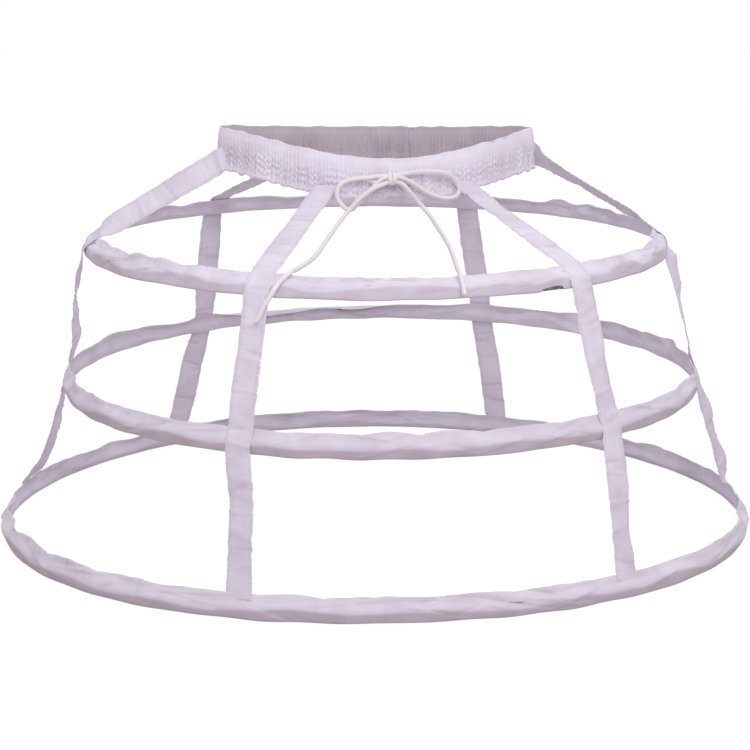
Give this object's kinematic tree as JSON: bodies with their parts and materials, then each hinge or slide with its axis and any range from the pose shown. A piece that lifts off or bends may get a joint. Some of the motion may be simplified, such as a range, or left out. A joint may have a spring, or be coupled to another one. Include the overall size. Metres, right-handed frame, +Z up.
{
  "type": "crinoline cage",
  "caption": "Hoop petticoat frame: sprung steel hoops in cloth casings hang on cloth straps from a gathered waistband tied by a drawstring bow, and hold a skirt out in a dome.",
  "frame": {"origin": "centre of the bottom hoop, on the surface that the hem stands on", "axes": "+Z up along the wearer, -Y towards the front where the bow is tied, +X to the right of the front view"},
  "size_m": [0.6497, 0.6498, 0.3484],
  "materials": {
    "cotton": "plain woven cotton, matt",
    "elastic": "woven elastic, matt",
    "cord": "soft braided cotton, matt",
    "spring_steel": "blued strip, satin",
    "joiner_steel": "dark, worn satin"
  },
  "bodies": {
    "root": {"waistband": "cotton", "waist_elastic": "elastic", "drawstring": "cord", "bow_knot": "cord", "left_bow_loop": "cord", "right_bow_loop": "cord", "left_bow_tail": "cord", "right_bow_tail": "cord", "front_left_strap": "cotton", "front_right_strap": "cotton", "right_strap": "cotton", "back_right_strap": "cotton", "back_left_strap": "cotton", "left_strap": "cotton", "top_casing": "cotton", "middle_casing": "cotton", "bottom_casing": "cotton", "top_bone": "spring_steel", "middle_bone": "spring_steel", "bottom_bone": "spring_steel", "top_joiner": "joiner_steel", "middle_joiner": "joiner_steel", "bottom_joiner": "joiner_steel"}
  },
  "joints": []
}
